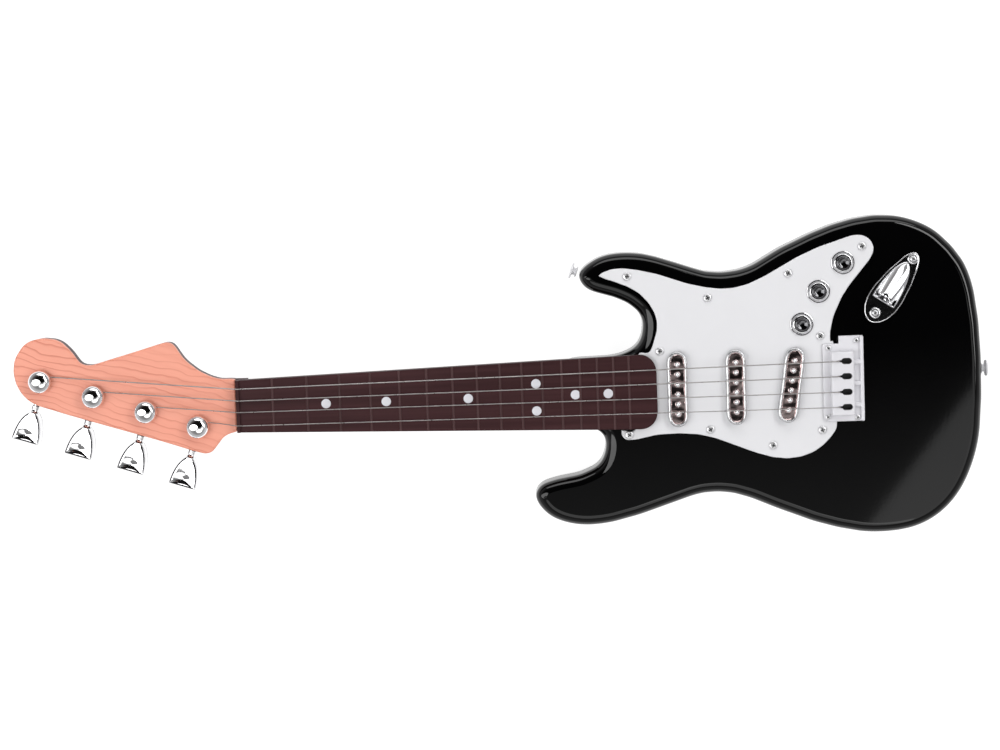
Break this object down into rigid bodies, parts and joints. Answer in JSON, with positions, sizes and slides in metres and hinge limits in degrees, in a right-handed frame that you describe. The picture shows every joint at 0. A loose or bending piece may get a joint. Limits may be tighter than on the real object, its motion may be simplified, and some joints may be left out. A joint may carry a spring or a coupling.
{
  "type": "toy electric guitar",
  "caption": "Child's toy electric guitar with a black two-horn body, white pickguard, oval pickups, sprung sound buttons, four strings and turning tuner keys.",
  "frame": {"origin": "point on the flat back of the body, under the neck's centre line, between the middle and the bridge pickups", "axes": "+X from the headstock to the tail along the strings, +Z out of the face, +Y towards the upper horn"},
  "size_m": [0.6664, 0.2166, 0.0512],
  "materials": {
    "black_gloss": "gloss",
    "white_plastic": "satin",
    "brown_plastic": "satin",
    "wood_look_plastic": "satin",
    "plated_plastic": "polished",
    "plated_steel": "polished",
    "string_steel": "satin",
    "silver_plastic": "satin",
    "cell_jacket": "satin",
    "black_matte": "matte",
    "board_green": "satin",
    "pad_rubber": "matte"
  },
  "bodies": {
    "guitar": {"battery_box": "black_matte", "battery_cell_1": "cell_jacket", "battery_cell_2": "cell_jacket", "battery_cell_3": "cell_jacket", "battery_door": "black_gloss", "battery_door_screw": "plated_steel", "body_back_shell": "black_gloss", "body_front_shell": "black_gloss", "bridge": "white_plastic", "bridge_screw_1": "plated_steel", "bridge_screw_2": "plated_steel", "bridge_screw_3": "plated_steel", "bridge_screw_4": "plated_steel", "button_bezel_1": "plated_plastic", "button_bezel_2": "plated_plastic", "button_bezel_3": "plated_plastic", "button_pad": "pad_rubber", "circuit_board": "board_green", "fingerboard": "brown_plastic", "headstock_cover": "wood_look_plastic", "jack_plate": "plated_plastic", "jack_screw_1": "plated_steel", "jack_screw_2": "plated_steel", "jack_socket": "plated_steel", "loudspeaker": "black_matte", "neck": "brown_plastic", "neck_screw_1": "plated_steel", "neck_screw_2": "plated_steel", "pickguard": "white_plastic", "pickguard_screw_01": "plated_steel", "pickguard_screw_02": "plated_steel", "pickguard_screw_03": "plated_steel", "pickguard_screw_04": "plated_steel", "pickguard_screw_05": "plated_steel", "pickguard_screw_06": "plated_steel", "pickguard_screw_07": "plated_steel", "pickguard_screw_08": "plated_steel", "pickguard_screw_09": "plated_steel", "pickguard_screw_10": "plated_steel", "pickup_bridge": "plated_plastic", "pickup_middle": "plated_plastic", "pickup_neck": "plated_plastic", "strap_button_horn": "silver_plastic", "strap_button_tail": "silver_plastic", "string_1": "string_steel", "string_2": "string_steel", "string_3": "string_steel", "string_4": "string_steel"},
    "power_switch": {"power_switch": "black_matte"},
    "sound_button_1": {"sound_button_1": "plated_plastic"},
    "sound_button_2": {"sound_button_2": "plated_plastic"},
    "sound_button_3": {"sound_button_3": "plated_plastic"},
    "tuner_key_1": {"tuner_key_1": "plated_plastic"},
    "tuner_key_2": {"tuner_key_2": "plated_plastic"},
    "tuner_key_3": {"tuner_key_3": "plated_plastic"},
    "tuner_key_4": {"tuner_key_4": "plated_plastic"},
    "tuner_post_1": {"tuner_post_1": "plated_plastic"},
    "tuner_post_2": {"tuner_post_2": "plated_plastic"},
    "tuner_post_3": {"tuner_post_3": "plated_plastic"},
    "tuner_post_4": {"tuner_post_4": "plated_plastic"}
  },
  "joints": [
    {"name": "sound_button_1_press", "type": "slide", "parent": "guitar", "child": "sound_button_1", "axis": [0, 0, -1], "range_m": [0, 0.0018], "stiffness_N_per_m": 400, "springref_m": -0.002},
    {"name": "sound_button_2_press", "type": "slide", "parent": "guitar", "child": "sound_button_2", "axis": [0, 0, -1], "range_m": [0, 0.0018], "stiffness_N_per_m": 400, "springref_m": -0.002},
    {"name": "sound_button_3_press", "type": "slide", "parent": "guitar", "child": "sound_button_3", "axis": [0, 0, -1], "range_m": [0, 0.0018], "stiffness_N_per_m": 400, "springref_m": -0.002},
    {"name": "power_switch_slide", "type": "slide", "parent": "guitar", "child": "power_switch", "axis": [1, 0, 0], "range_m": [0, 0.004]},
    {"name": "tuner_key_1_turn", "type": "hinge", "parent": "guitar", "child": "tuner_key_1", "pos_m": [-0.5005, 0.0215, 0.0323], "axis": [-0.3107, -0.9505, 0], "continuous": true},
    {"name": "tuner_post_1_turn", "type": "hinge", "parent": "guitar", "child": "tuner_post_1", "pos_m": [-0.5005, 0.0215, 0.042], "axis": [0, 0, 1], "continuous": true},
    {"name": "tuner_key_2_turn", "type": "hinge", "parent": "guitar", "child": "tuner_key_2", "pos_m": [-0.4651, 0.01, 0.0323], "axis": [-0.3107, -0.9505, 0], "continuous": true},
    {"name": "tuner_post_2_turn", "type": "hinge", "parent": "guitar", "child": "tuner_post_2", "pos_m": [-0.4651, 0.01, 0.042], "axis": [0, 0, 1], "continuous": true},
    {"name": "tuner_key_3_turn", "type": "hinge", "parent": "guitar", "child": "tuner_key_3", "pos_m": [-0.43, -0.0015, 0.0323], "axis": [-0.3107, -0.9505, 0], "continuous": true},
    {"name": "tuner_post_3_turn", "type": "hinge", "parent": "guitar", "child": "tuner_post_3", "pos_m": [-0.43, -0.0015, 0.042], "axis": [0, 0, 1], "continuous": true},
    {"name": "tuner_key_4_turn", "type": "hinge", "parent": "guitar", "child": "tuner_key_4", "pos_m": [-0.3952, -0.013, 0.0323], "axis": [-0.3107, -0.9505, 0], "continuous": true},
    {"name": "tuner_post_4_turn", "type": "hinge", "parent": "guitar", "child": "tuner_post_4", "pos_m": [-0.3952, -0.013, 0.042], "axis": [0, 0, 1], "continuous": true}
  ],
  "couplings": [
    {"joint": "tuner_post_1_turn", "follows": "tuner_key_1_turn", "ratio": -1},
    {"joint": "tuner_post_2_turn", "follows": "tuner_key_2_turn", "ratio": -1},
    {"joint": "tuner_post_3_turn", "follows": "tuner_key_3_turn", "ratio": -1},
    {"joint": "tuner_post_4_turn", "follows": "tuner_key_4_turn", "ratio": -1}
  ]
}
